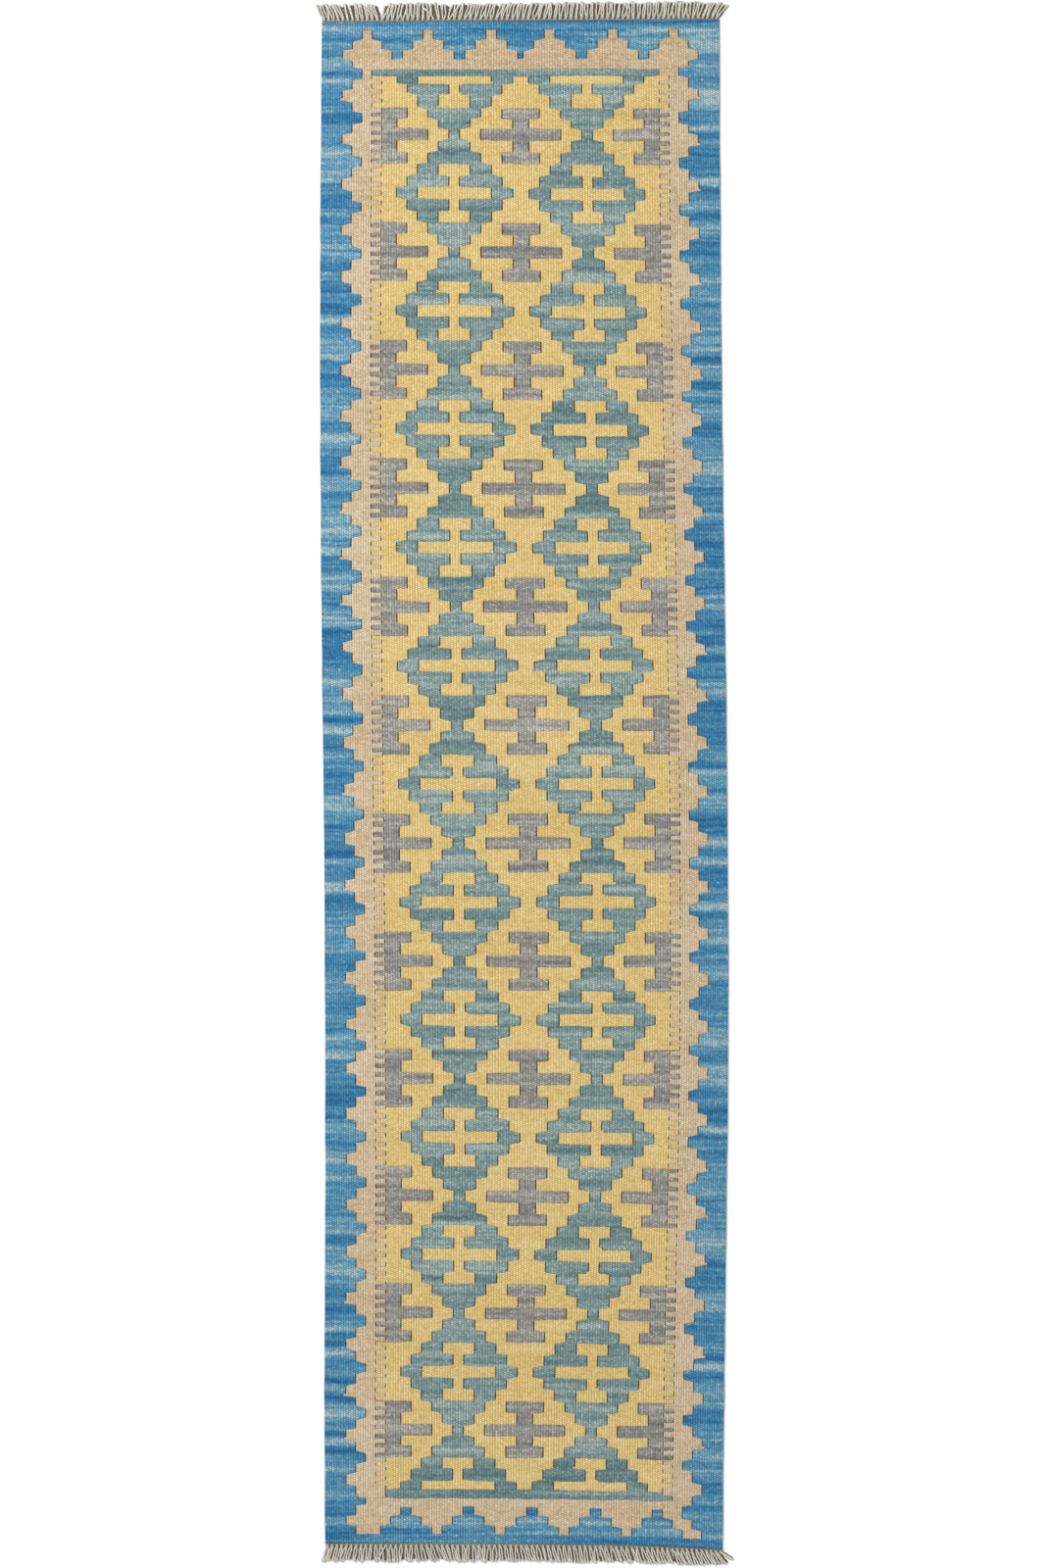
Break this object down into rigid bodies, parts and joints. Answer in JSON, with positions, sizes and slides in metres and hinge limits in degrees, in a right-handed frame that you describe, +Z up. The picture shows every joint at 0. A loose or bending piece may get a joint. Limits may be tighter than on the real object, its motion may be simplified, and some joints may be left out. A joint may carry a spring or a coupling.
{
  "type": "runner rug",
  "caption": "Long flat-woven slit-tapestry runner with two columns of stepped diamonds, stepped borders and a knotted cord fringe at both ends.",
  "frame": {"origin": "middle of the underside, where it rests on the floor", "axes": "+Y along the rug towards its far end, +X across it to the right, +Z up"},
  "size_m": [0.8388, 3.126, 0.004],
  "materials": {
    "blue_weft": "hand-spun wool weft, blue with darker and lighter dye streaks",
    "tan_weft": "hand-spun wool weft, tan",
    "teal_weft": "hand-spun wool weft, pale grey-green",
    "yellow_weft": "hand-spun wool weft, soft yellow",
    "grey_weft": "mottled grey wool weft",
    "twining_yarn": "grey-brown twined yarn",
    "warp_cord": "plied light grey cotton cord"
  },
  "bodies": {
    "root": {"blue_band_far": "blue_weft", "blue_band_near": "blue_weft", "blue_border_left": "blue_weft", "blue_border_right": "blue_weft", "fringe_far": "warp_cord", "fringe_near": "warp_cord", "grey_crosses_centre": "grey_weft", "grey_crosses_left": "grey_weft", "grey_crosses_right": "grey_weft", "knots_far": "warp_cord", "knots_near": "warp_cord", "tan_band_far": "tan_weft", "tan_band_near": "tan_weft", "tan_border_left": "tan_weft", "tan_border_right": "tan_weft", "teal_bar_far": "teal_weft", "teal_bar_near": "teal_weft", "teal_diamond_left_01": "teal_weft", "teal_diamond_left_02": "teal_weft", "teal_diamond_left_03": "teal_weft", "teal_diamond_left_04": "teal_weft", "teal_diamond_left_05": "teal_weft", "teal_diamond_left_06": "teal_weft", "teal_diamond_left_07": "teal_weft", "teal_diamond_left_08": "teal_weft", "teal_diamond_left_09": "teal_weft", "teal_diamond_left_10": "teal_weft", "teal_diamond_left_11": "teal_weft", "teal_diamond_right_01": "teal_weft", "teal_diamond_right_02": "teal_weft", "teal_diamond_right_03": "teal_weft", "teal_diamond_right_04": "teal_weft", "teal_diamond_right_05": "teal_weft", "teal_diamond_right_06": "teal_weft", "teal_diamond_right_07": "teal_weft", "teal_diamond_right_08": "teal_weft", "teal_diamond_right_09": "teal_weft", "teal_diamond_right_10": "teal_weft", "teal_diamond_right_11": "teal_weft", "teal_half_diamond_left_far": "teal_weft", "teal_half_diamond_left_near": "teal_weft", "teal_half_diamond_right_far": "teal_weft", "teal_half_diamond_right_near": "teal_weft", "twining_far": "twining_yarn", "twining_near": "twining_yarn", "warps": "warp_cord", "yellow_crosses_left": "yellow_weft", "yellow_crosses_right": "yellow_weft", "yellow_ground_centre": "yellow_weft", "yellow_ground_left": "yellow_weft", "yellow_ground_right": "yellow_weft"}
  },
  "joints": []
}
